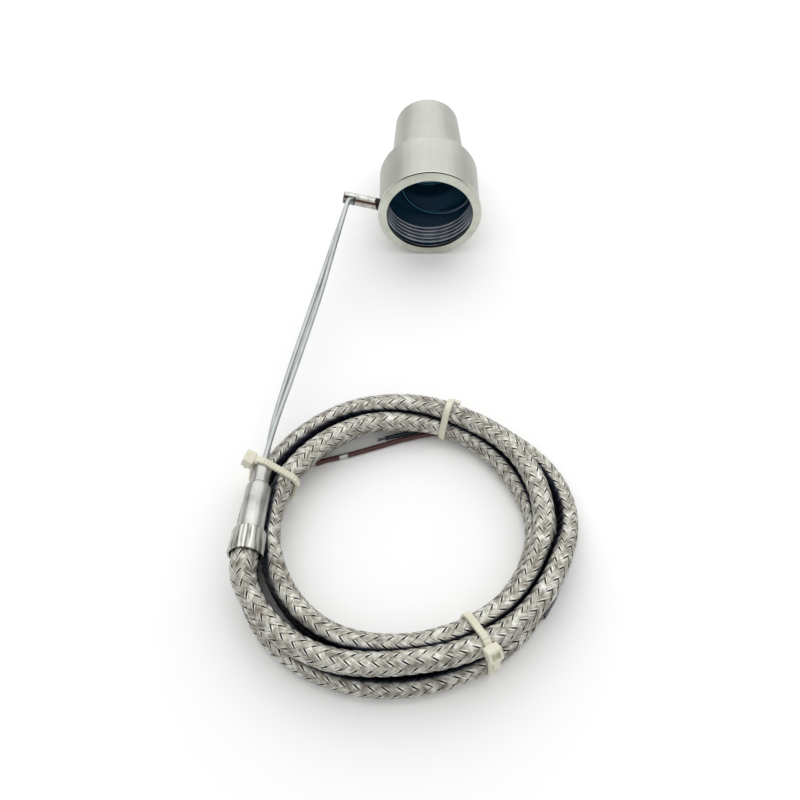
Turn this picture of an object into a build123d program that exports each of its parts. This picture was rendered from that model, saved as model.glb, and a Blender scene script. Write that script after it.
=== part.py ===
"""Hot runner coil heater: stepped sleeve, wound element, side leads and a coiled braided lead.

Units are millimetres. The origin is the centre of the front ring's mouth, on the bore's axis.
+Y runs into the bore, +Z is up, and the part lies on the surface at z = SURFACE_Z.
"""

from build123d import *
import math
import os

# Surface that the part lies on
SURFACE_Z = -18.0

# Head: ring and sleeve, turned about the Y axis
RING_BORE_R = 15.0
RING_OUTER_R = 18.0
RING_THICKNESS = 1.5
RING_FRONT_CHAMFER = 0.35
RING_REAR_CHAMFER = 0.25
SLEEVE_WALL = 0.95
SLEEVE_LARGE_R = 17.5
SLEEVE_STEP_Y = 21.3
SLEEVE_SHOULDER_END_Y = 26.0
SLEEVE_SMALL_R = 13.5
SLEEVE_END_R = 11.8
SLEEVE_END_Y = 50.8
SHOULDER_FILLET = 2.2

# Heating element, wound against the sleeve's inside
ELEMENT_R = 0.75
FRONT_WINDING_R = 15.77
FRONT_WINDING_Y = 2.35
FRONT_PITCH = 1.72
FRONT_TURNS = 5.75
CROSSING_TURNS = 1.5
CROSSING_RISE = 17.0
NARROWING_FROM = 0.12
NARROWING_SHARE = 0.4
REAR_WINDING_R = 10.0
REAR_PITCH = 2.4
REAR_TURNS = 7.5
ELEMENT_START_DEG = 176.0
POINTS_PER_TURN = 12

# Guide tube on the sleeve's left side
GUIDE_ROOT = Vector(-17.6, 4.5, 1.2)
GUIDE_END = Vector(-29.7, 4.5, 4.5)
GUIDE_R = 2.05
GUIDE_BORE_R = 1.74
GUIDE_NOTCH_LENGTH = 3.9
GUIDE_NOTCH_WIDTH = 3.7

# Stiff rods, drawn as a pair about one middle line
ROD_R = 0.75
ROD_HALF_GAP = 0.88
ROD_BEND_R = 3.2

# Transition sleeve and skirt, turned about their own axis
TRANSITION_START = Vector(-48.9, -99.9, -5.0)
TRANSITION_END = Vector(-50.7, -128.6, -2.9)
COLLAR_R = 2.5
COLLAR_LENGTH = 4.6
COLLAR_BORE_R = 1.85
BODY_R = 3.5
BODY_BORE_R = 2.8
BODY_END = 15.7
BODY_TUCK = 3.0
SKIRT_TOP_R = 4.6
SKIRT_MOUTH_R = 4.85
SKIRT_LIP = 0.6
SKIRT_FLARE_LENGTH = 6.0
SKIRT_FACETS = 14
PLUG_RECESS = 0.7
ROD_END_IN_SLEEVE = 7.5

# Braided lead and its coil
LEAD_R = 3.15
COIL_CENTRE_X = -8.8
COIL_CENTRE_Y = -113.8
COIL_INNER_R = 31.8
COIL_OUTER_RX = 49.3
COIL_OUTER_RY = 46.0
COIL_BASE_TOP_Z = -11.7
UPPER_OUTER_R = 43.2
UPPER_TOP_Z = -5.8
TOP_TURN_INNER_R = 39.0
TOP_TURN_Z = -4.3
TOP_TURN_FROM_DEG = 208.0
TOP_TURN_TO_DEG = 345.0
COIL_FILLET = 2.6
POCKET_INNER_R = 36.8
POCKET_FLOOR_Z = -8.5
POCKET_FROM_DEG = 146.0
POCKET_TO_DEG = 206.0

# Heat-shrink tube and the two lead wires
SHRINK_R = 3.7
SHRINK_PATH_R = 42.0
SHRINK_FROM_DEG = -36.5
SHRINK_TO_DEG = -14.0
SHRINK_POCKET_INNER_R = 38.2
SHRINK_POCKET_TOP_Z = -10.4
BROWN_WIRE_R = 0.8
BLACK_WIRE_R = 0.65
BARE_STRANDS_R = 0.5
WIRE_BAND_R = 0.55
WIRE_START_DEG = -18.0
WIRE_LIFT = 1.2

# Cable ties
TIE_WIDTH = 2.5
TIE_THICKNESS = 1.1
TIE_FILLET = 2.4
TIE_HEAD = Vector(4.4, 3.8, 4.6)


def around_coil(degrees, radius, z):
    """A point beside the coil, by its angle seen from above and its distance from the coil's centre."""
    angle = math.radians(degrees)
    return Vector(COIL_CENTRE_X + radius * math.cos(angle), COIL_CENTRE_Y + radius * math.sin(angle), z)


def turned(points, axis=Axis.Y):
    """A closed profile in the XY plane, revolved about an axis."""
    return revolve(make_face(Polyline(*points, close=True)), axis)


def rounded_path(points, first_radius=None):
    """A path of straight runs joined by the largest tangent arcs that the runs allow."""
    radii = []
    for before, here, after in zip(points, points[1:], points[2:]):
        turn = (here - before).get_angle(after - here)
        shorter = min((here - before).length, (after - here).length)
        radii.append(0.45 * shorter / math.tan(math.radians(turn) / 2))
    if first_radius is not None:
        radii[0] = first_radius
    return FilletPolyline(*points, radius=radii), radii


def tube_along(path, radius):
    """A round bar of one radius along a path."""
    start = Plane(origin=path @ 0, z_dir=path % 0)
    return sweep(start * Circle(radius), path=path)


def cord_tube(name, points, radius):
    """A cord's plain tube, with its bend radii and length printed."""
    path, radii = rounded_path(points)
    print(name, "length", round(path.length, 1), "radii", [round(r, 1) for r in radii])
    return tube_along(path, radius)


def front_ring():
    """Thin washer at the mouth; its bore edge at the front stays sharp."""
    return turned(
        [
            (RING_BORE_R, 0),
            (RING_OUTER_R - RING_FRONT_CHAMFER, 0),
            (RING_OUTER_R, RING_FRONT_CHAMFER),
            (RING_OUTER_R, RING_THICKNESS - RING_REAR_CHAMFER),
            (RING_OUTER_R - RING_REAR_CHAMFER, RING_THICKNESS),
            (RING_BORE_R, RING_THICKNESS),
        ]
    )


def outer_sleeve():
    """Stepped sleeve with a rounded shoulder and a slight taper to its far end."""
    outer = [
        (SLEEVE_LARGE_R, RING_THICKNESS),
        (SLEEVE_LARGE_R, SLEEVE_STEP_Y),
        (SLEEVE_SMALL_R, SLEEVE_SHOULDER_END_Y),
        (SLEEVE_END_R, SLEEVE_END_Y),
    ]
    inner = [
        (SLEEVE_LARGE_R - SLEEVE_WALL, RING_THICKNESS),
        (SLEEVE_LARGE_R - SLEEVE_WALL, SLEEVE_STEP_Y - SLEEVE_WALL / 2),
        (SLEEVE_SMALL_R - SLEEVE_WALL, SLEEVE_SHOULDER_END_Y - SLEEVE_WALL / 2),
        (SLEEVE_END_R - SLEEVE_WALL, SLEEVE_END_Y),
    ]
    outside = FilletPolyline(*outer, radius=SHOULDER_FILLET)
    inside = FilletPolyline(*inner, radius=SHOULDER_FILLET)
    ends = Line(outer[0], inner[0]) + Line(outer[-1], inner[-1])
    wall = revolve(make_face(outside + inside + ends), Axis.Y)
    return wall - guide_cylinder(GUIDE_R, 0)


def eased(share):
    """A smooth step from 0 to 1."""
    held = min(max(share, 0.0), 1.0)
    return held * held * (3 - 2 * held)


def winding_points():
    """The element's middle line: a tight front winding, a crossing turn, then the rear winding."""
    crossing_start = FRONT_TURNS
    rear_start = FRONT_TURNS + CROSSING_TURNS
    turns = rear_start + REAR_TURNS
    crossing_y = FRONT_WINDING_Y + FRONT_PITCH * FRONT_TURNS
    points = []
    for step in range(int(turns * POINTS_PER_TURN) + 1):
        turn = step / POINTS_PER_TURN
        if turn <= crossing_start:
            radius = FRONT_WINDING_R
            y = FRONT_WINDING_Y + FRONT_PITCH * turn
        elif turn <= rear_start:
            share = (turn - crossing_start) / CROSSING_TURNS
            narrowing = eased((share - NARROWING_FROM) / NARROWING_SHARE)
            radius = FRONT_WINDING_R - (FRONT_WINDING_R - REAR_WINDING_R) * narrowing
            y = crossing_y + CROSSING_RISE * (0.2 * share + 0.8 * eased(share))
        else:
            radius = REAR_WINDING_R
            y = crossing_y + CROSSING_RISE + REAR_PITCH * (turn - rear_start)
        angle = math.radians(ELEMENT_START_DEG + 360 * turn)
        points.append(Vector(radius * math.cos(angle), y, radius * math.sin(angle)))
    return points


def heater_coil():
    """Sheathed element of one round section, wound in two diameters."""
    path = Spline(*winding_points())
    start = Plane(origin=path @ 0, z_dir=path % 0)
    return sweep(start * Circle(ELEMENT_R), path=path, is_frenet=True)


def guide_direction():
    return (GUIDE_END - GUIDE_ROOT).normalized()


def guide_cylinder(radius, extra):
    """A cylinder on the guide tube's axis, from inside the sleeve to the tube's end plus extra."""
    along = guide_direction()
    start = GUIDE_ROOT - along * 2.5
    length = (GUIDE_END - start).length + extra
    place = Plane(origin=start, z_dir=along)
    return place * Cylinder(radius, length, align=(Align.CENTER, Align.CENTER, Align.MIN))


def lead_guide_tube():
    """Short tube through the sleeve's wall, cut open at its end on the side where the rods bend out."""
    tube = guide_cylinder(GUIDE_R, 0) - guide_cylinder(GUIDE_BORE_R, 1)
    bore = Rot(X=-90) * Cylinder(SLEEVE_LARGE_R - SLEEVE_WALL, 30)
    along = guide_direction()
    notch_place = Plane(origin=GUIDE_END, x_dir=along, z_dir=(0, -1, 0))
    notch = notch_place * Box(
        2 * GUIDE_NOTCH_LENGTH, GUIDE_NOTCH_WIDTH, 3 * GUIDE_R, align=(Align.CENTER, Align.CENTER, Align.MIN)
    )
    return tube - bore - notch


def rod_middle_line():
    """Middle line of the pair of rods, with the direction from one rod to the other at each point."""
    up = Vector(0, 0, 1)
    side = Vector(1, 0, 0)
    slanted = Vector(0.7, 0, 0.7)
    across_guide = Vector(0.26, 0.14, 0.96)
    along = transition_direction()
    return [
        (GUIDE_ROOT + guide_direction() * 0.6, across_guide),
        (Vector(-28.0, 4.5, 4.04), across_guide),
        (Vector(-33.0, -18.6, 1.0), slanted),
        (Vector(-36.6, -34.6, -2.0), side),
        (Vector(-40.2, -50.9, -3.5), side),
        (Vector(-43.4, -65.1, -4.8), side),
        (Vector(-47.1, -83.4, -5.7), slanted),
        (TRANSITION_START - along * 3.5 + Vector(0.2, 0, 0), up),
        (TRANSITION_START + along * ROD_END_IN_SLEEVE, up),
    ]


def stiff_rod(sign):
    """One of the two sheathed rods from the guide tube into the transition sleeve."""
    points = [middle + across.normalized() * (sign * ROD_HALF_GAP) for middle, across in rod_middle_line()]
    path, _ = rounded_path(points, first_radius=ROD_BEND_R)
    return tube_along(path, ROD_R)


def transition_direction():
    return (TRANSITION_END - TRANSITION_START).normalized()


def on_transition(shape, distance=0.0):
    """Places a shape made along +Z on the transition sleeve's axis, at a distance from its top."""
    along = transition_direction()
    place = Plane(origin=TRANSITION_START + along * distance, x_dir=(0, 0, 1), z_dir=along)
    return place * shape


def transition_length():
    return (TRANSITION_END - TRANSITION_START).length


def turned_on_z(points):
    """A closed profile of (radius, height) pairs, revolved about Z."""
    return revolve(Plane.XZ * make_face(Polyline(*points, close=True)), Axis.Z)


def transition_sleeve():
    """Turned collar and body, with a lengthwise seam along the body."""
    end = BODY_END + BODY_TUCK
    shell = turned_on_z(
        [
            (COLLAR_BORE_R, 0),
            (COLLAR_R - 0.25, 0),
            (COLLAR_R, 0.25),
            (COLLAR_R, COLLAR_LENGTH - 0.5),
            (BODY_R - 0.3, COLLAR_LENGTH),
            (BODY_R, COLLAR_LENGTH + 0.4),
            (BODY_R, end),
            (BODY_BORE_R, end),
            (BODY_BORE_R, COLLAR_LENGTH + 0.6),
            (COLLAR_BORE_R, COLLAR_LENGTH),
        ]
    )
    seam_length = BODY_END - COLLAR_LENGTH - 1.4
    seam = Rot(Z=35) * Pos(BODY_R, 0, COLLAR_LENGTH + 0.9) * Box(
        0.5, 0.35, seam_length, align=(Align.CENTER, Align.CENTER, Align.MIN)
    )
    return on_transition(shell - seam)


def crimp_skirt():
    """Skirt crimped round the braid's end, with lengthwise facets that widen towards its mouth."""
    length = transition_length() - BODY_END
    facets = loft(
        [
            RegularPolygon(SKIRT_TOP_R, SKIRT_FACETS),
            Pos(0, 0, length) * RegularPolygon(SKIRT_MOUTH_R + 0.1, SKIRT_FACETS),
        ]
    )
    round_outside = turned_on_z(
        [
            (0, 0),
            (SKIRT_TOP_R - 0.55, 0),
            (SKIRT_TOP_R - 0.08, 0.5),
            (SKIRT_MOUTH_R, length - 0.3),
            (SKIRT_MOUTH_R - 0.3, length),
            (0, length),
        ]
    )
    tuck = Cylinder(BODY_R, BODY_TUCK, align=(Align.CENTER, Align.CENTER, Align.MIN))
    bore = Cylinder(LEAD_R, length, align=(Align.CENTER, Align.CENTER, Align.MIN))
    flare = Pos(0, 0, length) * Cone(
        LEAD_R, SKIRT_MOUTH_R - SKIRT_LIP, SKIRT_FLARE_LENGTH, align=(Align.CENTER, Align.CENTER, Align.MAX)
    )
    return on_transition((facets & round_outside) - tuck - bore - flare, BODY_END)


def potting_plug(rods):
    """Filling in the collar's bore round the two rods, recessed at the mouth."""
    plug = Cylinder(
        COLLAR_BORE_R, COLLAR_LENGTH - PLUG_RECESS, align=(Align.CENTER, Align.CENTER, Align.MIN)
    )
    return on_transition(plug, PLUG_RECESS) - rods[0] - rods[1]


def coil_layer(outline, bottom, top):
    """A flat layer of the coil round its open middle, with its rims rounded."""
    place = Pos(COIL_CENTRE_X, COIL_CENTRE_Y, bottom)
    layer = extrude(place * (outline - Circle(COIL_INNER_R)), top - bottom)
    levels = layer.edges().group_by(Axis.Z)
    return fillet(levels[0] + levels[-1], COIL_FILLET)


def coil_sector(inner, outer, bottom, top, from_deg, to_deg):
    """A piece of a ring round the coil's centre between two angles."""
    profile = Plane.XZ * make_face(
        Polyline((inner, bottom), (outer, bottom), (outer, top), (inner, top), close=True)
    )
    piece = revolve(profile, Axis.Z, to_deg - from_deg)
    return Pos(COIL_CENTRE_X, COIL_CENTRE_Y, 0) * Rot(Z=from_deg) * piece


def braided_lead_coil():
    """Outer shape of the coiled lead: wide lower turns, narrower upper turns and the top turn in front."""
    base_outline = Ellipse(COIL_OUTER_RX, COIL_OUTER_RY)
    lower = coil_layer(base_outline, SURFACE_Z, COIL_BASE_TOP_Z)
    upper = coil_layer(Circle(UPPER_OUTER_R), SURFACE_Z + 1, UPPER_TOP_Z)
    top_turn = coil_layer(base_outline, SURFACE_Z + 1, TOP_TURN_Z) & coil_sector(
        TOP_TURN_INNER_R, 60, COIL_BASE_TOP_Z - 3, 0, TOP_TURN_FROM_DEG, TOP_TURN_TO_DEG
    )
    sleeve_pocket = coil_sector(POCKET_INNER_R, 60, POCKET_FLOOR_Z, 0, POCKET_FROM_DEG, POCKET_TO_DEG)
    shrink_pocket = coil_sector(
        SHRINK_POCKET_INNER_R, 60, SURFACE_Z - 1, SHRINK_POCKET_TOP_Z, SHRINK_FROM_DEG, SHRINK_TO_DEG
    )
    return lower + upper + top_turn - sleeve_pocket - shrink_pocket


def lead_route():
    """The lead from inside the skirt, past its mouth, to the coil."""
    along = transition_direction()
    return [
        TRANSITION_END - along * 8,
        TRANSITION_END + along * 1.5,
        around_coil(206, 46.4, -4.2),
        around_coil(213, 46.6, -5.2),
    ]


def shrink_sleeve():
    """Heat-shrink tube on the lead's end, lying on the surface under the next turn."""
    profile = Plane.XZ * Pos(SHRINK_PATH_R, SURFACE_Z + SHRINK_R) * Circle(SHRINK_R)
    tube = revolve(profile, Axis.Z, SHRINK_TO_DEG - SHRINK_FROM_DEG)
    return Pos(COIL_CENTRE_X, COIL_CENTRE_Y, 0) * Rot(Z=SHRINK_FROM_DEG) * tube


def brown_wire_route():
    """Brown wire: under the coil, out at its far side and across the open middle to its band."""
    z = SURFACE_Z + BROWN_WIRE_R
    return [
        around_coil(WIRE_START_DEG, 41.2, z + WIRE_LIFT),
        around_coil(4, 40.8, z),
        around_coil(24, 40.2, z),
        around_coil(42, 39.2, z),
        around_coil(58, 38.2, z + WIRE_LIFT),
        Vector(2.6, -79.9, z + WIRE_LIFT),
        Vector(-8.9, -81.9, z),
        Vector(-18.6, -86.1, z),
        Vector(-26.4, -89.0, z),
    ]


def black_wire_route():
    """Black wire: beside the brown one, ending sooner at its bare strands."""
    z = SURFACE_Z + BLACK_WIRE_R
    return [
        around_coil(WIRE_START_DEG, 43.2, z + WIRE_LIFT),
        around_coil(4, 42.9, z),
        around_coil(24, 42.2, z),
        around_coil(42, 41.2, z),
        around_coil(58, 40.0, z + WIRE_LIFT),
        Vector(1.6, -77.6, z + WIRE_LIFT),
        Vector(-7.4, -79.6, z),
        Vector(-14.8, -81.6, z),
    ]


def straight_tip(route, radius, length):
    """A short round bar that carries on from a wire's last run."""
    along = (route[-1] - route[-2]).normalized()
    place = Plane(origin=route[-1], z_dir=along)
    return place * Cylinder(radius, length, align=(Align.CENTER, Align.CENTER, Align.MIN))


def cable_tie(degrees, outline, head_radius, head_z):
    """A closed strap round the coil's section, with its head on the outer side."""
    place = Plane(
        origin=around_coil(degrees, 0, 0),
        x_dir=around_coil(degrees, 1, 0) - around_coil(degrees, 0, 0),
        z_dir=around_coil(degrees - 90, 1, 0) - around_coil(degrees - 90, 0, 0),
    )
    loop = Polyline(*outline, close=True)
    outside = make_face(loop)
    outside = fillet(outside.vertices(), TIE_FILLET)
    inside = offset(outside, -TIE_THICKNESS)
    strap = extrude(place * (outside - inside), TIE_WIDTH / 2, both=True)
    head = place * Pos(head_radius, head_z, 0) * Box(TIE_HEAD.X, TIE_HEAD.Y, TIE_HEAD.Z)
    head = fillet(head.edges(), 0.5)
    hollow = extrude(place * inside, TIE_HEAD.Z, both=True)
    return strap + (head - hollow)


def left_tie():
    outline = [(30.6, SURFACE_Z), (49.6, SURFACE_Z), (50.2, -7.0), (45.8, -1.2), (37.6, -2.6), (30.6, -8.6)]
    return cable_tie(158, outline, 48.6, -5.6)


def far_tie():
    outline = [(30.6, SURFACE_Z), (48.0, SURFACE_Z), (48.0, -11.0), (43.0, -4.6), (36.0, -4.6), (30.6, -10.0)]
    return cable_tie(70, outline, 48.4, -12.6)


def near_tie():
    outline = [(30.6, SURFACE_Z), (48.6, SURFACE_Z), (48.6, -9.0), (45.0, -3.2), (36.0, -4.4), (30.6, -8.6)]
    return cable_tie(-61, outline, 48.2, -7.0)


def build_pieces():
    """Every piece of the heater by its node name."""
    rods = [stiff_rod(1), stiff_rod(-1)]
    lead_coil = braided_lead_coil()
    brown = cord_tube("brown_wire", brown_wire_route(), BROWN_WIRE_R)
    brown_band = straight_tip(brown_wire_route(), WIRE_BAND_R, 2.0)
    black = cord_tube("black_wire", black_wire_route(), BLACK_WIRE_R)
    strands = straight_tip(black_wire_route(), BARE_STRANDS_R, 2.4)
    transition = transition_sleeve()
    skirt = crimp_skirt()
    ties = {"left_tie": left_tie(), "far_tie": far_tie(), "near_tie": near_tie()}
    for name, tie in ties.items():
        for neighbour in (transition, rods[0], rods[1], brown, black):
            tie = tie - neighbour
        ties[name] = tie
    lead_coil = lead_coil - brown - black - strands
    for tie in ties.values():
        lead_coil = lead_coil - tie
    lead_tube = cord_tube("braided_lead_tube", lead_route(), LEAD_R) - lead_coil
    pieces = {
        "front_ring": front_ring(),
        "outer_sleeve": outer_sleeve(),
        "heater_coil": heater_coil(),
        "lead_guide_tube": lead_guide_tube(),
        "power_lead_rod": rods[0],
        "thermocouple_rod": rods[1],
        "transition_sleeve": transition,
        "crimp_skirt": skirt,
        "potting_plug": potting_plug(rods),
        "braided_lead_tube": lead_tube,
        "braided_lead_coil": lead_coil,
        "shrink_sleeve": shrink_sleeve() - brown - black,
        "brown_wire": brown,
        "brown_wire_band": brown_band,
        "black_wire": black,
        "black_wire_strands": strands,
    }
    pieces.update(ties)
    return pieces


os.makedirs("parts", exist_ok=True)
for node_name, piece in build_pieces().items():
    export_step(piece, f"parts/{node_name}.step")
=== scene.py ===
"""Looks of the hot runner coil heater: finishes, braided lead, wires, cable ties, light and camera.

Everything is in metres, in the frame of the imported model. A value in millimetres is multiplied by MM.
"""

import bpy
import bmesh
import math
import numpy as np
from mathutils import Matrix, Vector


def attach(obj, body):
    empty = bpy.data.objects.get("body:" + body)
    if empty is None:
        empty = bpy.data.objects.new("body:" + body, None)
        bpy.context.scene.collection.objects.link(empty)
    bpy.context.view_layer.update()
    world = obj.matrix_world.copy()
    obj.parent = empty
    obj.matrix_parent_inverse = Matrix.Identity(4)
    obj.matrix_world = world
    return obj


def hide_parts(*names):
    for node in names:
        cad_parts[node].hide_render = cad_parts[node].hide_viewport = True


MM = 0.001
SURFACE_Z = -18.0 * MM

# Camera, fitted to the photograph's view
CAMERA_PLACE = (-0.0103, -0.2324, 0.2023)
CAMERA_TILT_DEG = 37.0
CAMERA_LENS = 39.12

# Coil of the lead: its centre, the lead's radius and its core's, a turn's height on the surface
COIL_CENTRE = (-8.8 * MM, -113.8 * MM)
LEAD_R = 3.15 * MM
CORE_R = 2.6 * MM
FLOOR_TURN_Z = SURFACE_Z + LEAD_R

# Ends of the transition sleeve's axis, and where the lead starts along it, in mm past the skirt's mouth
COLLAR_TOP = Vector((-48.9, -99.9, -5.0)) * MM
SKIRT_MOUTH = Vector((-50.7, -128.6, -2.9)) * MM
LEAD_START = (-5.5, -2.5, 1.5)

# The coil's turns: angle seen from above in degrees, distance from the centre in mm, and height in mm above
# a turn that lies on the surface
COIL_STATIONS = [
    (206, 46.6, 10.1), (218, 47.0, 8.8), (230, 46.6, 7.9), (243, 45.2, 7.5), (261, 42.6, 8.6),
    (275, 41.5, 8.9), (297, 41.4, 8.2), (313, 42.2, 7.7), (336, 42.9, 7.8), (345, 43.4, 6.8),
    (355, 44.7, 3.2), (364, 45.9, 0.7), (373, 46.4, 0.0), (381, 46.0, 0.0), (391, 44.4, 0.0),
    (405, 42.6, 0.0), (432, 42.1, 0.0), (445, 40.9, 0.0), (461, 38.4, 0.0), (476, 37.2, 0.0),
    (495, 37.4, 0.0), (520, 38.0, 0.0), (560, 38.1, 0.0), (610, 38.4, 0.0), (632, 37.8, 0.0),
    (652, 35.4, 0.0), (683, 35.0, 0.0), (720, 36.9, 0.0), (748, 35.6, 0.2), (770, 35.7, 0.7),
    (788, 35.9, 1.6), (808, 34.4, 3.2), (822, 34.2, 4.6), (850, 34.4, 5.8), (868, 35.4, 5.8),
    (888, 36.4, 6.0), (910, 37.6, 6.1), (925, 38.0, 6.1), (945, 38.7, 6.2), (960, 38.8, 6.2),
    (980, 37.2, 6.2), (1005, 35.9, 6.1), (1027, 36.0, 6.1), (1063, 37.4, 6.1), (1090, 38.6, 6.1),
    (1116, 39.0, 5.9), (1140, 38.1, 5.8), (1160, 38.6, 6.1), (1180, 39.3, 6.0), (1194, 41.0, 4.6),
    (1206, 42.6, 2.3), (1218, 43.6, 0.8), (1230, 44.0, 0.0), (1262, 44.5, 0.0), (1285, 46.3, 0.0),
    (1305, 47.7, 0.0), (1330, 46.2, 0.0), (1351, 44.5, 0.0), (1372, 43.2, 0.0), (1390, 42.6, 0.0),
    (1412, 41.8, 0.0),
]
CONTROL_STEP_DEG = 10

# Front ring: a painted dark reflection on top of its rim, and the end of the painted highlight behind it
DARK_REFLECTION_FROM_Y = 0.25 * MM
DARK_REFLECTION_TO_Y = 1.05 * MM
HIGHLIGHT_END_Y = 1.50 * MM

# Side tube: the way that its painted dark reddish reflection line faces, and the dark marks at its root
REFLECTION_LINE_FACES = (0.17, -0.83, 0.53)
ROOT_FROM_X = -17.9 * MM
ROOT_TO_X = -10.0 * MM

# Winding: radii, rise for each turn, the turns of its three parts, and where painted dark blue shade lies on
# its sheath
ELEMENT_R = 0.75 * MM
ELEMENT_START_DEG = 176.0
FRONT_WINDING_R = 15.77 * MM
FRONT_WINDING_Y = 2.6 * MM
FRONT_PITCH = 1.85 * MM
FRONT_TURNS = 5.25
CROSSING_TURNS = 1.5
CROSSING_RISE = 17.0 * MM
NARROWING_FROM = 0.12
NARROWING_SHARE = 0.4
REAR_WINDING_R = 10.0 * MM
REAR_PITCH = 2.4 * MM
REAR_TURNS = 7.5
POINTS_PER_TURN = 16
DEEP_SHADE_FROM_Y = 15.5 * MM
DEEP_SHADE_TO_Y = 60.0 * MM

# Transition sleeve and skirt, measured along their axis from the collar's top
COLLAR_R = 2.5 * MM
COLLAR_BORE_R = 1.85 * MM
COLLAR_LENGTH = 7.0 * MM
BODY_R = 3.5 * MM
BODY_BORE_R = 2.8 * MM
SKIRT_AT = 21.4 * MM
SKIRT_TOP_R = 4.6 * MM
SKIRT_MOUTH_R = 4.85 * MM
SKIRT_LIP = 0.6 * MM
SKIRT_FACETS = 16
BODY_TUCK = 1.2 * MM
TURNED_SIDES = 96
SHARP_DEG = 28

# Braid of flat ribbons of fine wire, two over and two under: ribbons each way, and the length of one round
RIBBONS = 8
LAY = 28.0 * MM
BRAID_R = 2.91 * MM
RIBBON_WIDTH = 1.92 * MM
RIBBON_ARCH = 0.09 * MM
WEAVE_HEIGHT = 0.17 * MM
RIBBON_QUADS = 4
STEPS_PER_CROSSING = 3
WIRES_PER_RIBBON = 7

# Painted shade in the slit at a ribbon's edge, in crossings from the middle of its float
SLIT_MIDDLE = 0.7
SLIT_REACH = 0.42

# Shade between turns: sampling step, depth, gain, the covered shares where it starts and is full, and the
# length of lead that counts as a point's own turn
CLEFT_STEP = 1.5 * MM
CLEFT_DEPTH = 1.2 * MM
COVER_GAIN = 1.6
COVER_LIGHT = 0.32
COVER_DARK = 0.68
OWN_TURN = 30 * MM
VERTICES_AT_ONCE = 4000

# The lead is thicker where it leaves the skirt
SWELL = 0.22
SWELL_AT = 5.5 * MM
SWELL_LENGTH = 10.0 * MM

# Heat-shrink tube on the lead's end
SHRINK_R = 3.7 * MM
SHRINK_WALL = 0.45 * MM
SHRINK_PATH_R = 42.0 * MM
SHRINK_FROM_DEG = -36.5
SHRINK_TO_DEG = -14.0

# The two lead wires: radii, the angles under the coil, the brown one's last stretch in mm, bare strands
BROWN_WIRE_R = 0.8 * MM
BLACK_WIRE_R = 0.65 * MM
WIRE_UNDER_DEG = (-18.0, 4, 24, 42, 58)
WIRE_LIFT = 1.2 * MM
BROWN_END = [(-28.4, -88.6), (-30.6, -89.2), (-33.2, -89.9), (-35.5, -91.0)]
CRIMP_BULGE = 0.06 * MM
CRIMP_OVERLAP = 0.3 * MM
BARE_STRANDS = 7
BARE_STRAND_R = 0.11 * MM

# Cable ties: the strap and its ribs, the head with its window, and the cut tail
LEFT_TIE_DEG = 160.4
FAR_TIE_DEG = 70
NEAR_TIE_DEG = 297.8
STRAP_WIDTH = 2.0 * MM
STRAP_THICKNESS = 0.9 * MM
STRAP_EDGE = 0.2 * MM
STRAP_GAP = 0.05 * MM
RIB_HEIGHT = 0.16 * MM
RIB_PITCH = 0.9 * MM
POINTS_PER_RIB = 4
HEAD_SIZE = Vector((3.7, 4.0, 3.1)) * MM
HEAD_OUT = 1.75 * MM
HEAD_ROUNDING = 0.45 * MM
WINDOW_RIM = 0.55 * MM
WINDOW_DEPTH = 1.1 * MM
TAIL_FROM = 1.9 * MM
TAIL_LENGTH = 2.6 * MM
TAIL_THICKNESS = 1.0 * MM

# The collar, which the left tie holds too: distance from the coil's centre, height and radius
COLLAR_CIRCLE = (42.7 * MM, -5.0 * MM, COLLAR_R)

# Light: the sky's brightness from the horizon up, and one large lamp behind the part
SKY_STOPS = [(0.0, 0.95), (0.10, 0.45), (0.30, 0.75), (0.50, 1.0), (1.0, 1.08)]
SKY_STRENGTH = 0.80
LAMP_PLACE = (0.02, 0.45, 0.62)
LAMP_TARGET = (-0.01, -0.06, 0.0)
LAMP_SIZE = 1.6
LAMP_POWER = 5.6


def around_coil(degrees, radius, z):
    """A point beside the coil, by its angle seen from above and its distance from the coil's centre."""
    angle = math.radians(degrees)
    return Vector((COIL_CENTRE[0] + radius * math.cos(angle), COIL_CENTRE[1] + radius * math.sin(angle), z))


def station_at(degrees):
    """The lead's distance from the coil's centre and its height at one angle, in metres."""
    angles, radii, heights = zip(*COIL_STATIONS)
    radius = np.interp(degrees, angles, radii)
    height = np.interp(degrees, angles, heights)
    return radius * MM, FLOOR_TURN_Z + height * MM


def link(obj):
    bpy.context.scene.collection.objects.link(obj)
    return obj


# Camera


def make_camera():
    camera = bpy.data.cameras.new("camera")
    camera.lens = CAMERA_LENS
    camera.sensor_width = 36.0
    camera.clip_start = 0.01
    camera.clip_end = 20.0
    obj = link(bpy.data.objects.new("camera", camera))
    obj.location = CAMERA_PLACE
    obj.rotation_euler = (math.radians(CAMERA_TILT_DEG), 0, 0)
    bpy.context.scene.camera = obj


# Materials


def fill_ramp(node, stops):
    """Sets a colour ramp's stops, each a position and a colour."""
    elements = node.color_ramp.elements
    while len(elements) < len(stops):
        elements.new(1.0)
    for element, (position, color) in zip(elements, stops):
        element.position = position
        element.color = (*color, 1)


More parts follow.
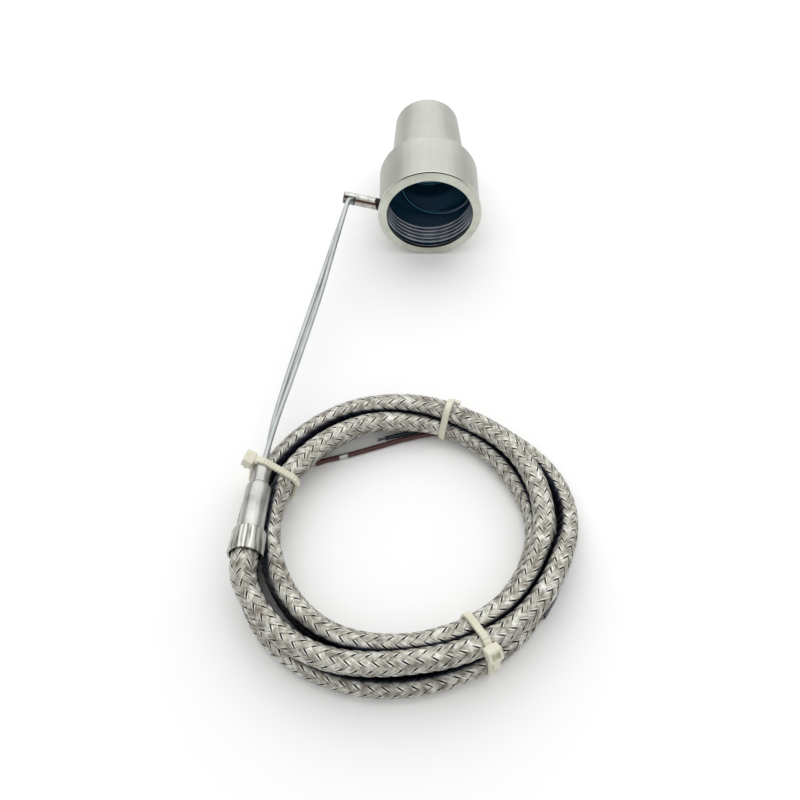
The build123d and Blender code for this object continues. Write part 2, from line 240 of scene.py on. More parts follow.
class Finish:
    """A procedural material, with short calls for the nodes that the finishes share."""

    def __init__(self, name, metallic, roughness, color=(0.5, 0.5, 0.5)):
        self.material = bpy.data.materials.new(name)
        self.material.use_nodes = True
        self.nodes = self.material.node_tree.nodes
        self.links = self.material.node_tree.links
        self.shader = self.nodes["Principled BSDF"]
        self.shader.inputs["Metallic"].default_value = metallic
        self.shader.inputs["Roughness"].default_value = roughness
        self.shader.inputs["Base Color"].default_value = (*color, 1)

    def join(self, output, target):
        self.links.new(output, target)

    def feed(self, target, value):
        """Joins a socket to an input, or sets the input to a number, a vector or a colour."""
        if isinstance(value, bpy.types.NodeSocket):
            self.join(value, target)
        elif isinstance(value, tuple):
            target.default_value = (*value, 1)
        else:
            target.default_value = value

    def coordinates(self, scale=(1, 1, 1), kind="Object"):
        source = self.nodes.new("ShaderNodeTexCoord")
        mapping = self.nodes.new("ShaderNodeMapping")
        mapping.inputs["Scale"].default_value = scale
        self.join(source.outputs[kind], mapping.inputs["Vector"])
        return mapping.outputs["Vector"]

    def noise(self, vector, scale, detail=3.0, roughness=0.5):
        node = self.nodes.new("ShaderNodeTexNoise")
        node.inputs["Scale"].default_value = scale
        node.inputs["Detail"].default_value = detail
        node.inputs["Roughness"].default_value = roughness
        self.join(vector, node.inputs["Vector"])
        return node.outputs["Fac"]

    def math(self, operation, *values):
        node = self.nodes.new("ShaderNodeMath")
        node.operation = operation
        for index, value in enumerate(values):
            self.feed(node.inputs[index], value)
        return node.outputs[0]

    def blend(self, first, first_share, second, second_share):
        """The sum of two factors, each with its share."""
        first_part = self.math("MULTIPLY", first, first_share)
        second_part = self.math("MULTIPLY", second, second_share)
        return self.math("ADD", first_part, second_part)

    def ramp(self, factor, *stops):
        """A colour ramp; each stop is a position and a colour."""
        node = self.nodes.new("ShaderNodeValToRGB")
        fill_ramp(node, stops)
        self.join(factor, node.inputs["Fac"])
        return node.outputs["Color"]

    def mix(self, factor, first, second, kind="MIX"):
        """A mix of two colours; each of the three is a socket or a constant."""
        node = self.nodes.new("ShaderNodeMix")
        node.data_type = "RGBA"
        node.blend_type = kind
        for index, value in ((0, factor), (6, first), (7, second)):
            self.feed(node.inputs[index], value)
        return node.outputs[2]

    def multiply(self, first, second):
        """One colour multiplied by another."""
        return self.mix(1.0, first, second, "MULTIPLY")

    def remap(self, value, start, end, low=0.0, high=1.0):
        """A value's range from start to end brought to low to high, and held at both ends."""
        node = self.nodes.new("ShaderNodeMapRange")
        node.inputs["From Min"].default_value = start
        node.inputs["From Max"].default_value = end
        node.inputs["To Min"].default_value = low
        node.inputs["To Max"].default_value = high
        self.join(value, node.inputs["Value"])
        return node.outputs["Result"]

    def spread(self, factor, low, high):
        """A factor from 0 to 1 spread over another range."""
        return self.remap(factor, 0.0, 1.0, low, high)

    def geometry(self, name):
        """The position or the normal of the point that is shaded."""
        return self.nodes.new("ShaderNodeNewGeometry").outputs[name]

    def vector_math(self, operation, *values):
        node = self.nodes.new("ShaderNodeVectorMath")
        node.operation = operation
        for index, value in enumerate(values):
            self.feed(node.inputs[index], value)
        return node

    def dot(self, first, second):
        return self.vector_math("DOT_PRODUCT", first, second).outputs["Value"]

    def axes(self, vector):
        """The three outputs of a vector, by the names X, Y and Z."""
        split = self.nodes.new("ShaderNodeSeparateXYZ")
        self.join(vector, split.inputs[0])
        return split.outputs

    def color(self, output):
        self.join(output, self.shader.inputs["Base Color"])

    def roughness(self, output):
        self.join(output, self.shader.inputs["Roughness"])

    def bump(self, height, distance, strength=1.0):
        node = self.nodes.new("ShaderNodeBump")
        node.inputs["Distance"].default_value = distance
        node.inputs["Strength"].default_value = strength
        self.join(height, node.inputs["Height"])
        self.join(node.outputs["Normal"], self.shader.inputs["Normal"])


def radial_facing(finish):
    """1 where a surface turned about the Y axis faces outwards, 0 where it faces the axis."""
    from_axis = finish.vector_math("MULTIPLY", finish.geometry("Position"), Vector((1, 0, 1)))
    return finish.math("GREATER_THAN", finish.dot(from_axis.outputs[0], finish.geometry("Normal")), 0.0)


def facing_up(finish):
    """1 on the top of a surface that lies along Y, falling to 0 down its sides."""
    return finish.remap(finish.axes(finish.geometry("Normal"))["Z"], 0.72, 0.86)


def along_y(finish):
    source = finish.nodes.new("ShaderNodeTexCoord")
    return finish.axes(source.outputs["Object"])["Y"]


def band(finish, value, low, high, soft):
    """1 where a value lies between low and high, with soft ends."""
    rise = finish.remap(value, low - soft, low)
    fall = finish.remap(value, high + soft, high)
    return finish.math("MULTIPLY", rise, fall)


def sleeve_finish():
    """Satin steel with soft lengthwise streaks, and painted shade in dark blue on the inside."""
    finish = Finish("sleeve_satin", 1.0, 0.42)
    streaks = finish.noise(finish.coordinates((1, 0.06, 1)), 420, 4, 0.6)
    clouds = finish.noise(finish.coordinates(), 70, 3)
    steel = finish.ramp(
        finish.blend(streaks, 0.5, clouds, 0.5),
        (0.30, (0.40, 0.41, 0.375)),
        (0.50, (0.45, 0.46, 0.42)),
        (0.70, (0.51, 0.52, 0.48)),
    )
    outside = radial_facing(finish)
    # Painted shade: faces that look towards the axis are dark blue
    finish.color(finish.mix(outside, (0.012, 0.080, 0.155), steel))
    finish.join(finish.spread(outside, 0.3, 1.0), finish.shader.inputs["Metallic"])
    finish.roughness(finish.spread(streaks, 0.42, 0.56))
    finish.bump(streaks, 0.02 * MM, 0.5)
    return finish.material


def ring_finish():
    """Pale warm grey washer, with a painted dark reflection and a painted highlight on top of its rim."""
    finish = Finish("ring_turned", 1.0, 0.38)
    cloud = finish.noise(finish.coordinates(), 160, 4, 0.6)
    face = finish.ramp(
        cloud,
        (0.30, (0.50, 0.51, 0.45)),
        (0.55, (0.62, 0.64, 0.56)),
        (0.75, (0.70, 0.73, 0.65)),
    )
    y = along_y(finish)
    top = facing_up(finish)
    # Painted dark reflection and painted highlight, on the top of the rim only
    painted_dark_reflection = finish.math("MULTIPLY", band(finish, y, DARK_REFLECTION_FROM_Y, DARK_REFLECTION_TO_Y, 0.08 * MM), top)
    highlight_band = band(finish, y, DARK_REFLECTION_TO_Y + 0.1 * MM, HIGHLIGHT_END_Y, 0.1 * MM)
    painted_highlight = finish.math("MULTIPLY", highlight_band, top)
    with_dark_reflection = finish.mix(painted_dark_reflection, face, (0.05, 0.026, 0.016))
    finish.color(finish.mix(painted_highlight, with_dark_reflection, (0.90, 0.90, 0.86)))
    finish.roughness(finish.spread(cloud, 0.3, 0.5))
    finish.bump(finish.noise(finish.coordinates(), 1500, 2), 0.01 * MM, 0.5)
    return finish.material


def element_finish():
    """Heat-darkened sheath of the winding, with painted shade in dark blue deep inside the sleeve."""
    finish = Finish("element_sheath", 1.0, 0.4)
    cloud = finish.noise(finish.coordinates(), 220, 3)
    sheath = finish.ramp(
        cloud,
        (0.30, (0.20, 0.23, 0.28)),
        (0.55, (0.32, 0.35, 0.40)),
        (0.80, (0.46, 0.48, 0.50)),
    )
    # Painted shade: dark blue deep inside the sleeve
    deep = band(finish, along_y(finish), DEEP_SHADE_FROM_Y, DEEP_SHADE_TO_Y, 3 * MM)
    finish.color(finish.mix(deep, sheath, (0.03, 0.10, 0.16)))
    finish.roughness(finish.spread(cloud, 0.28, 0.5))
    finish.bump(finish.noise(finish.coordinates(), 2500, 2), 0.01 * MM, 0.4)
    return finish.material


def rod_finish():
    """Drawn sheath with faint lengthwise marks."""
    finish = Finish("rod_sheath", 0.9, 0.45)
    marks = finish.noise(finish.coordinates((1, 0.05, 1)), 900, 3)
    cloud = finish.noise(finish.coordinates(), 90, 3)
    steel = finish.ramp(
        finish.blend(marks, 0.4, cloud, 0.6),
        (0.35, (0.36, 0.38, 0.38)),
        (0.50, (0.46, 0.48, 0.48)),
        (0.70, (0.56, 0.57, 0.57)),
    )
    finish.color(steel)
    finish.roughness(finish.spread(cloud, 0.40, 0.55))
    finish.bump(marks, 0.01 * MM, 0.5)
    return finish.material


def guide_finish():
    """Bright tube with a painted dark reddish reflection along its front and dark marks at its root."""
    finish = Finish("guide_tube_steel", 1.0, 0.3)
    cloud = finish.noise(finish.coordinates(), 500, 4)
    steel = finish.ramp(
        cloud,
        (0.30, (0.34, 0.34, 0.32)),
        (0.50, (0.50, 0.50, 0.47)),
        (0.70, (0.62, 0.62, 0.59)),
    )
    # Painted dark reflection: a reddish line where the surface faces one way
    facing = finish.dot(finish.geometry("Normal"), Vector(REFLECTION_LINE_FACES).normalized())
    uneven = finish.math("ADD", facing, finish.math("MULTIPLY", cloud, 0.02))
    line = band(finish, uneven, 0.998, 1.2, 0.012)
    x = finish.axes(finish.geometry("Position"))["X"]
    ragged = finish.math("ADD", x, finish.math("MULTIPLY", cloud, 1.6 * MM))
    root = band(finish, ragged, ROOT_FROM_X, ROOT_TO_X, 0.3 * MM)
    tube_with_dark_reflection = finish.mix(line, steel, (0.11, 0.045, 0.035))
    finish.color(finish.mix(root, tube_with_dark_reflection, (0.03, 0.025, 0.025)))
    finish.roughness(finish.spread(cloud, 0.2, 0.42))
    finish.bump(cloud, 0.02 * MM, 0.4)
    return finish.material


def bright_finish():
    """Bright turned steel of the transition sleeve and of the brown wire's band."""
    finish = Finish("bright_turned", 1.0, 0.22)
    marks = finish.noise(finish.coordinates((1, 0.1, 1)), 700, 3)
    cloud = finish.noise(finish.coordinates(), 200, 4)
    steel = finish.ramp(
        finish.blend(marks, 0.4, cloud, 0.6),
        (0.30, (0.28, 0.28, 0.26)),
        (0.48, (0.44, 0.44, 0.42)),
        (0.70, (0.58, 0.58, 0.56)),
    )
    finish.color(steel)
    finish.roughness(finish.spread(cloud, 0.22, 0.42))
    finish.bump(cloud, 0.03 * MM, 0.4)
    return finish.material


def skirt_finish():
    """Crimped steel with light and dark lengthwise marks."""
    finish = Finish("skirt_crimped", 1.0, 0.34)
    marks = finish.noise(finish.coordinates((1, 0.04, 0.5)), 1500, 2)
    cloud = finish.noise(finish.coordinates(), 200, 4)
    steel = finish.ramp(
        marks,
        (0.38, (0.17, 0.17, 0.15)),
        (0.47, (0.42, 0.42, 0.38)),
        (0.62, (0.62, 0.62, 0.58)),
    )
    finish.color(steel)
    finish.roughness(finish.spread(cloud, 0.26, 0.44))
    finish.bump(marks, 0.06 * MM, 0.6)
    return finish.material


def map_axes(finish, name):
    """The two numbers of a UV map."""
    source = finish.nodes.new("ShaderNodeUVMap")
    source.uv_map = name
    outputs = finish.axes(source.outputs["UV"])
    return outputs["X"], outputs["Y"]


def braid_finish():
    """Ribbons of fine round wires, with painted shade in the slits between neighbours, between wires, where
    ribbons dive, and between turns, and a painted glint beside the slits.

    The map "braid" runs across a ribbon in x, from 0 to 1, and along it in y, in metres. The map "cleft" has
    in x the strength of the painted shade in the slit at the ribbon's edge, and in y how open the lead lies,
    which sets the painted shade between turns. The map "lift" has in x the ribbon's height in the weave,
    which sets the painted shade where a ribbon dives. The last three of these go from 0 to 1.
    """
    finish = Finish("braid_wires", 0.9, 0.36)
    across, _ = map_axes(finish, "braid")
    slit, openness = map_axes(finish, "cleft")
    lift, _ = map_axes(finish, "lift")
    edge = finish.math("ABSOLUTE", finish.math("SUBTRACT", finish.math("MULTIPLY", across, 2.0), 1.0))
    wires = finish.math("MULTIPLY", across, math.pi * WIRES_PER_RIBBON)
    crowns = finish.math("ABSOLUTE", finish.math("SINE", wires))
    cloud = finish.noise(finish.coordinates(), 430, 2)
    strand = finish.noise(finish.coordinates((12, 420, 1), "UV"), 1.0, 3, 0.65)
    tone = finish.ramp(
        finish.blend(cloud, 0.42, strand, 0.58),
        (0.40, (0.19, 0.165, 0.145)),
        (0.46, (0.40, 0.37, 0.32)),
        (0.53, (0.58, 0.58, 0.50)),
        (0.60, (0.95, 0.95, 0.89)),
    )
    # Painted shade in the grooves between a ribbon's wires
    groove_shade = finish.ramp(crowns, (0.0, (0.42, 0.41, 0.42)), (0.4, (0.88, 0.88, 0.87)), (0.8, (1, 1, 1)))
    # Painted shade where a ribbon dives under the other hand
    dive_shade = finish.ramp(lift, (0.0, (0.10, 0.10, 0.12)), (0.35, (0.55, 0.54, 0.54)), (0.65, (1, 1, 1)))
    # Painted shade in the slits at ribbon edges, and a painted glint beside them
    line = finish.math("MULTIPLY", band(finish, edge, 0.83, 2.0, 0.07), slit)
    painted_glint = finish.math("MULTIPLY", band(finish, edge, 0.56, 0.72, 0.08), slit)
    woven = finish.multiply(finish.multiply(tone, groove_shade), dive_shade)
    lit = finish.mix(finish.math("MULTIPLY", painted_glint, 0.7), woven, (0.98, 0.98, 0.92))
    slit_shaded = finish.mix(line, lit, (0.008, 0.008, 0.014))
    # Painted shade between turns, from how open the lead lies
    shade = finish.ramp(
        openness,
        (0.00, (0.010, 0.014, 0.035)),
        (0.35, (0.10, 0.11, 0.16)),
        (0.70, (0.72, 0.72, 0.74)),
        (1.00, (1, 1, 1)),
    )
    finish.color(finish.multiply(slit_shaded, shade))
    finish.roughness(finish.spread(strand, 0.20, 0.46))
    finish.bump(crowns, 0.10 * MM, 0.7)
    return finish.material


def plain_finish(name, low, high, roughness):
    """A plastic, dark filling or tinned wire, with a slight change of tone and a fine grain."""
    finish = Finish(name, 0.0, roughness)
    cloud = finish.noise(finish.coordinates(), 180, 3)
    finish.color(finish.ramp(cloud, (0.3, low), (0.7, high)))
    finish.roughness(finish.spread(cloud, roughness - 0.06, roughness + 0.1))
    finish.bump(finish.noise(finish.coordinates(), 600, 3), 0.02 * MM, 0.5)
    return finish.material


def dress(node_name, material):
    """Gives a CAD node its finish."""
    for material_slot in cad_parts[node_name].material_slots:
        material_slot.material = material


# Curves and meshes


def visible_piece(data, material):
    """A piece made of a curve or mesh, named as that is, riding on the rigid body."""
    data.materials.append(material)
    obj = link(bpy.data.objects.new(data.name, data))
    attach(obj, "root")
    return obj


def new_curve(name, radius, roundness=4, steps=12):
    """An empty curve with a round section; steps are the points drawn for each control point."""
    curve = bpy.data.curves.new(name, "CURVE")
    curve.dimensions = "3D"
    curve.bevel_depth = radius
    curve.bevel_resolution = roundness
    curve.resolution_u = steps
    curve.use_fill_caps = True
    return curve


def add_spline(curve, points):
    """A smooth NURBS line with the points as its control points."""
    spline = curve.splines.new("NURBS")
    spline.points.add(len(points) - 1)
    for point, place in zip(spline.points, points):
        point.co = (*place, 1)
    spline.order_u = 3
    spline.use_endpoint_u = True


def round_cord(name, points, radius, material, steps=12):
    """One smooth round cord along a route."""
    curve = new_curve(name, radius, steps=steps)
    add_spline(curve, points)
    return visible_piece(curve, material)


def spline_points(obj):
    """The points of a curve's own spline, read from a copy of it that has no bevel."""
    copy = obj.copy()
    copy.data = obj.data.copy()
    copy.data.bevel_depth = 0
    mesh = bpy.data.meshes.new_from_object(copy)
    points = np.array([v.co for v in mesh.vertices], float)
    bpy.data.meshes.remove(mesh)
    bpy.data.curves.remove(copy.data)
    return points


def transported_frames(points):
    """Arc length and two cross directions at each point, carried along without twist."""
    tangents = np.gradient(points, axis=0)
    tangents /= np.linalg.norm(tangents, axis=1)[:, None]
    first = np.zeros_like(points)
    start = np.cross(tangents[0], (0, 0, 1))
    first[0] = start / np.linalg.norm(start)
    for k in range(1, len(points)):
        carried = first[k - 1] - tangents[k] * (first[k - 1] @ tangents[k])
        first[k] = carried / np.linalg.norm(carried)
    lengths = np.concatenate([[0], np.cumsum(np.linalg.norm(np.diff(points, axis=0), axis=1))])
    return lengths, first, np.cross(tangents, first)


class Line:
    """A smooth middle line that can be asked for a point at any length, angle and distance from it."""

    def __init__(self, points):
        self.points = points
        self.lengths, self.first, self.second = transported_frames(points)

    def length(self):
        return self.lengths[-1]

    def sampled(self, values, at):
        return np.stack([np.interp(at, self.lengths, values[:, axis]) for axis in range(3)], axis=-1)

    def around(self, at, angle, radius):
        """Points at arc lengths, angles and radii, each an array of one shape."""
        offset = np.cos(angle)[..., None] * self.sampled(self.first, at)
        offset = offset + np.sin(angle)[..., None] * self.sampled(self.second, at)
        return self.sampled(self.points, at) + offset * np.asarray(radius)[..., None]


def grid_faces(rows, columns):
    """Quads of an open grid of points, numbered row by row."""
    corners = [row * columns + column for row in range(rows - 1) for column in range(columns - 1)]
    return [(k, k + 1, k + columns + 1, k + columns) for k in corners]


def closed_faces(rows, columns):
    """Quads of a grid that closes both ways: each row into a ring, and the last row onto the first."""
    faces = []
    for row in range(rows):
        here = row * columns
        after = (row + 1) % rows * columns
        for column in range(columns):
            side = (column + 1) % columns
            faces.append((here + column, here + side, after + side, after + column))
    return faces


def mesh_piece(name, vertices, faces, material, smooth=True):
    mesh = bpy.data.meshes.new(name)
    mesh.from_pydata([tuple(v) for v in vertices], [], faces)
    mesh.validate()
    if smooth:
        mesh.shade_smooth()
    return visible_piece(mesh, material)


def weave(position):
    """Height of a ribbon in the weave, from -1 to 1, where position counts crossings."""
    return np.clip(1.45 * np.cos(2 * math.pi * (position - 0.5) / 4), -1, 1)


def slit_shade_strength(phase):
    """How dark the painted shade in the slit beside a ribbon's edge is; phase counts crossings from a float's
    middle.
    """
    return np.clip(1.6 - np.abs(phase - SLIT_MIDDLE) / SLIT_REACH, 0, 1)


def how_open(line, vertices, at):
    """How open the lead lies at each vertex, for the painted shade: from 0 deep between turns or beside the
    sleeve to 1.

    It falls with the nearness of another turn, and with the share of the view outwards that turns cover.
    """
    marks = np.arange(0, line.length(), CLEFT_STEP)
    sleeve = np.linspace(COLLAR_TOP, SKIRT_MOUTH, 20)
    places = np.concatenate([line.sampled(line.points, marks), sleeve])
    sizes = np.concatenate([np.full(len(marks), LEAD_R), np.full(len(sleeve), (BODY_R + SKIRT_TOP_R) / 2)])
    marks = np.concatenate([marks, np.zeros(len(sleeve))])
    centres = line.sampled(line.points, at)
    outwards = vertices - centres
    outwards /= np.linalg.norm(outwards, axis=1)[:, None]
    openness = np.empty(len(vertices))
    for start in range(0, len(vertices), VERTICES_AT_ONCE):
        block = slice(start, start + VERTICES_AT_ONCE)
        gap = places[None] - vertices[block, None]
        apart = np.linalg.norm(gap, axis=2)
        apart[np.abs(at[block, None] - marks[None]) < OWN_TURN] = 1.0
        facing = np.clip(np.einsum("ijk,ik->ij", gap, outwards[block]) / apart, 0, 1)
        cover = (facing * COVER_GAIN * sizes * CLEFT_STEP / (math.pi * apart**2)).sum(axis=1)
        near = np.clip((apart - sizes).min(axis=1) / CLEFT_DEPTH, 0, 1)
        openness[block] = near * np.clip((COVER_DARK - cover) / (COVER_DARK - COVER_LIGHT), 0, 1)
    return openness


def braid_ribbons(name, line, hand, material):
    """All ribbons of one hand (1 or -1), as arched strips that pass over two and under two."""
    slope = math.atan(2 * math.pi * BRAID_R / LAY)
    crossing = LAY / (2 * RIBBONS)
    steps = int(line.length() / crossing * STEPS_PER_CROSSING)
    along = np.linspace(0, line.length(), steps + 1)
    number = along / crossing
    share = np.linspace(-1, 1, RIBBON_QUADS + 1)
    swelling = (1 + SWELL * np.exp(-((np.maximum(along - SWELL_AT, 0) / SWELL_LENGTH) ** 2)))[:, None]
    across = share[None, :] * swelling * RIBBON_WIDTH / 2
    grid = np.zeros((len(along), len(share)))
    vertices = []
    faces = []
    maps = {"braid": [], "cleft": [], "lift": []}
    places_along = []
    for ribbon in range(RIBBONS):
        position = number + 2 * ribbon if hand > 0 else 2 * ribbon - number + 2
        height = weave(position)[:, None]
        phase = (position - 0.5 + 2) % 4 - 2
        # Strength of the painted shade in the slits beside each ribbon's edges
        slit = slit_shade_strength(-hand * np.sign(share)[None, :] * phase[:, None])
        angle = 2 * math.pi * (ribbon / RIBBONS + hand * along / LAY)
        at = np.clip(along[:, None] - across * math.sin(slope), 0, line.length())
        turn = angle[:, None] + hand * across * math.cos(slope) / (BRAID_R * swelling)
        radius = BRAID_R * swelling + WEAVE_HEIGHT * height - RIBBON_ARCH * share[None, :] ** 2
        start = len(vertices) * len(share) * len(along)
        strip = grid_faces(len(along), len(share))
        faces += [tuple(start + corner for corner in face[::hand]) for face in strip]
        vertices.append(line.around(at, turn, radius).reshape(-1, 3))
        places_along.append(at.ravel())
        maps["braid"].append(np.stack([grid + (share + 1) / 2, grid + along[:, None]], -1).reshape(-1, 2))
        maps["cleft"].append(np.stack([grid + slit, grid], -1).reshape(-1, 2))
        maps["lift"].append(np.stack([grid + (height + 1) / 2, grid], -1).reshape(-1, 2))
    vertices = np.concatenate(vertices)
    cleft = np.concatenate(maps["cleft"])
    # How open the lead lies, for the painted shade between turns
    cleft[:, 1] = how_open(line, vertices, np.concatenate(places_along))
    obj = mesh_piece(name, vertices, faces, material)
    corners = np.zeros(len(obj.data.loops), np.int32)
    obj.data.loops.foreach_get("vertex_index", corners)
    for map_name in maps:
        values = cleft if map_name == "cleft" else np.concatenate(maps[map_name])
        layer = obj.data.uv_layers.new(name=map_name)
        layer.data.foreach_set("uv", values[corners].astype(np.float32).ravel())
    return obj


def lead_points():
    """The lead's route: out of the skirt, then the coil's turns worked out from the stations."""
    along = (SKIRT_MOUTH - COLLAR_TOP).normalized()
    points = [SKIRT_MOUTH + along * distance * MM for distance in LEAD_START]
    first, last = COIL_STATIONS[0][0], COIL_STATIONS[-1][0]
    count = round((last - first) / CONTROL_STEP_DEG)
    outside = 1 / math.cos(math.radians(CONTROL_STEP_DEG) / 2)
    for degrees in np.linspace(first, last, count + 1):
        radius, z = station_at(degrees)
        points.append(around_coil(degrees, radius * outside, z))
    return points


def make_lead():
    """The braided lead: a dark core, which is the cord, under two hands of ribbons."""
    dark = plain_finish("lead_core_dark", (0.006, 0.009, 0.02), (0.02, 0.025, 0.04), 0.6)
    core = round_cord("lead_core", lead_points(), CORE_R, dark)
    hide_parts("braided_lead_tube", "braided_lead_coil")
    line = Line(spline_points(core))
    material = braid_finish()
    return core, [
        braid_ribbons("lead_braid_right", line, 1, material),
        braid_ribbons("lead_braid_left", line, -1, material),
    ]


def make_shrink_sleeve(material):
    """Heat-shrink tube: slightly uneven, with a cut open end where the lead goes in."""
    degrees = np.linspace(SHRINK_FROM_DEG, SHRINK_TO_DEG, 40)
    middle = [around_coil(d, SHRINK_PATH_R, SURFACE_Z + SHRINK_R) for d in degrees]
    line = Line(np.array(middle))
    along = np.linspace(0, line.length(), 60)
    sides = 36
    angle = np.linspace(0, 2 * math.pi, sides, endpoint=False)
    at, turn = np.meshgrid(along, angle, indexing="ij")
    uneven = 0.05 * MM * np.sin(at / (1.75 * MM) + 3 * np.sin(turn)) * np.cos(2 * turn + 900 * at)
    outer = np.full_like(at, SHRINK_R - 0.08 * MM) + uneven
    inner = np.full_like(at, SHRINK_R - SHRINK_WALL)
    outer[0] -= 0.12 * MM
    outer[-1] -= 0.12 * MM
    shell = line.around(at, turn, outer).reshape(-1, 3)
    lining = line.around(at, turn, inner)[::-1].reshape(-1, 3)
    faces = closed_faces(2 * len(along), sides)
    tube = mesh_piece("shrink_tube", np.concatenate([shell, lining]), faces, material)
    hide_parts("shrink_sleeve")
    return tube


def eased(share):
    """A smooth step from 0 to 1."""
    held = min(max(share, 0.0), 1.0)
    return held * held * (3 - 2 * held)


def winding_points():
    """The element's route: a tight front winding, a crossing turn, then the rear winding."""
    rear_start = FRONT_TURNS + CROSSING_TURNS
    crossing_y = FRONT_WINDING_Y + FRONT_PITCH * FRONT_TURNS
    outside = 1 / math.cos(math.pi / POINTS_PER_TURN)
    points = []
    for step in range(int((rear_start + REAR_TURNS) * POINTS_PER_TURN) + 1):
        turn = step / POINTS_PER_TURN
        if turn <= FRONT_TURNS:
            radius = FRONT_WINDING_R
            y = FRONT_WINDING_Y + FRONT_PITCH * turn
        elif turn <= rear_start:
            share = (turn - FRONT_TURNS) / CROSSING_TURNS
            narrowing = eased((share - NARROWING_FROM) / NARROWING_SHARE)
            radius = FRONT_WINDING_R - (FRONT_WINDING_R - REAR_WINDING_R) * narrowing
            y = crossing_y + CROSSING_RISE * (0.2 * share + 0.8 * eased(share))
        else:
            radius = REAR_WINDING_R
            y = crossing_y + CROSSING_RISE + REAR_PITCH * (turn - rear_start)
        angle = math.radians(ELEMENT_START_DEG - 360 * turn)
        points.append(Vector((radius * outside * math.cos(angle), y, radius * outside * math.sin(angle))))
    return points


def make_winding(material):
    """The heating element, wound the way the photograph shows."""
    points = winding_points()
    winding = round_cord("element_winding", points, ELEMENT_R, material, steps=4)
    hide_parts("heater_coil")


def turned_piece(name, profile, start, along, material, facets=0):
    """A closed profile of (radius, distance, faceted) turned about a line, with flats where faceted is 1."""
    side = along.cross(Vector((0, 0, 1))).normalized()
    up = side.cross(along)
    vertices = []
    for radius, distance, faceted in profile:
        for k in range(TURNED_SIDES):
            angle = 2 * math.pi * k / TURNED_SIDES
            reach = radius
            if faceted:
                half = math.pi / facets
                reach *= math.cos(half) / math.cos((angle % (2 * half)) - half)
            out = side * math.cos(angle) + up * math.sin(angle)
            vertices.append(start + along * distance + out * reach)
    faces = closed_faces(len(profile), TURNED_SIDES)
    obj = mesh_piece(name, vertices, faces, material)
    obj.data.set_sharp_from_angle(angle=math.radians(SHARP_DEG))
    mesh = bmesh.new()
    mesh.from_mesh(obj.data)
    bmesh.ops.recalc_face_normals(mesh, faces=mesh.faces)
    mesh.to_mesh(obj.data)
    mesh.free()
    return obj


def make_transition(material, skirt_material):
    """The collar and body, and the faceted skirt crimped over the braid."""
    along = (SKIRT_MOUTH - COLLAR_TOP).normalized()
    length = (SKIRT_MOUTH - COLLAR_TOP).length
    step = COLLAR_LENGTH
    tuck = SKIRT_AT + BODY_TUCK
    body_profile = [
        (COLLAR_BORE_R, 0, 0),
        (COLLAR_R - 0.25 * MM, 0, 0),
        (COLLAR_R, 0.25 * MM, 0),
        (COLLAR_R, step - 0.9 * MM, 0),
        (COLLAR_R - 0.12 * MM, step - 0.75 * MM, 0),
        (COLLAR_R - 0.12 * MM, step - 0.55 * MM, 0),
        (BODY_R - 0.35 * MM, step, 0),
        (BODY_R - 0.08 * MM, step + 0.25 * MM, 0),
        (BODY_R, step + 0.7 * MM, 0),
        (BODY_R, tuck, 0),
        (BODY_BORE_R, tuck, 0),
        (BODY_BORE_R, step + 0.6 * MM, 0),
        (COLLAR_BORE_R, step, 0),
    ]
    body = turned_piece("transition_body", body_profile, COLLAR_TOP, along, material)
    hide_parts("transition_sleeve")
    mouth_bore = SKIRT_MOUTH_R - SKIRT_LIP
    skirt_profile = [
        (BODY_R, SKIRT_AT, 0),
        (SKIRT_TOP_R - 0.50 * MM, SKIRT_AT + 0.05 * MM, 0),
        (SKIRT_TOP_R - 0.15 * MM, SKIRT_AT + 0.30 * MM, 1),
        (SKIRT_TOP_R, SKIRT_AT + 0.85 * MM, 1),
        (SKIRT_MOUTH_R, length - 0.35 * MM, 1),
        (SKIRT_MOUTH_R - 0.10 * MM, length - 0.08 * MM, 0),
        (SKIRT_MOUTH_R - 0.30 * MM, length, 0),
        (mouth_bore, length, 0),
        (mouth_bore - 0.12 * MM, length - 0.5 * MM, 0),
        (BODY_R, tuck, 0),
    ]
    skirt = turned_piece(
        "crimped_skirt", skirt_profile, COLLAR_TOP, along, skirt_material, SKIRT_FACETS
    )
    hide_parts("crimp_skirt")


def wire_points(radius, under_coil, beyond):
    """A wire's route: distances from the coil's centre while under it, then places in its open middle."""
    z = SURFACE_Z + radius
    lifted = z + WIRE_LIFT
    under = zip(WIRE_UNDER_DEG, under_coil, (lifted, z, z, z, lifted))
    points = [around_coil(degrees, distance * MM, height) for degrees, distance, height in under]
    heights = [lifted] + [z] * (len(beyond) - 1)
    return points + [Vector((x * MM, y * MM, height)) for (x, y), height in zip(beyond, heights)]


def brown_wire_points():
    """The brown wire's route, up to 1 mm off the part's source where its end is seen."""
    beyond = [(2.6, -79.9), (-8.9, -81.9), (-18.6, -85.4), (-26.4, -88.0)]
    return wire_points(BROWN_WIRE_R, (41.2, 40.8, 40.2, 39.2, 38.2), beyond)


def black_wire_points():
    """The black wire's route, as in the part's source."""
    beyond = [(1.6, -77.6), (-7.4, -79.6), (-14.8, -81.6)]
    return wire_points(BLACK_WIRE_R, (43.2, 42.9, 42.2, 41.2, 40.0), beyond)


def make_brown_end(material):
    """The brown wire's last stretch, past its silver band."""
    z = SURFACE_Z + BROWN_WIRE_R
    points = [Vector((x * MM, y * MM, z)) for x, y in BROWN_END]
    return round_cord("brown_wire_end", points, BROWN_WIRE_R, material)


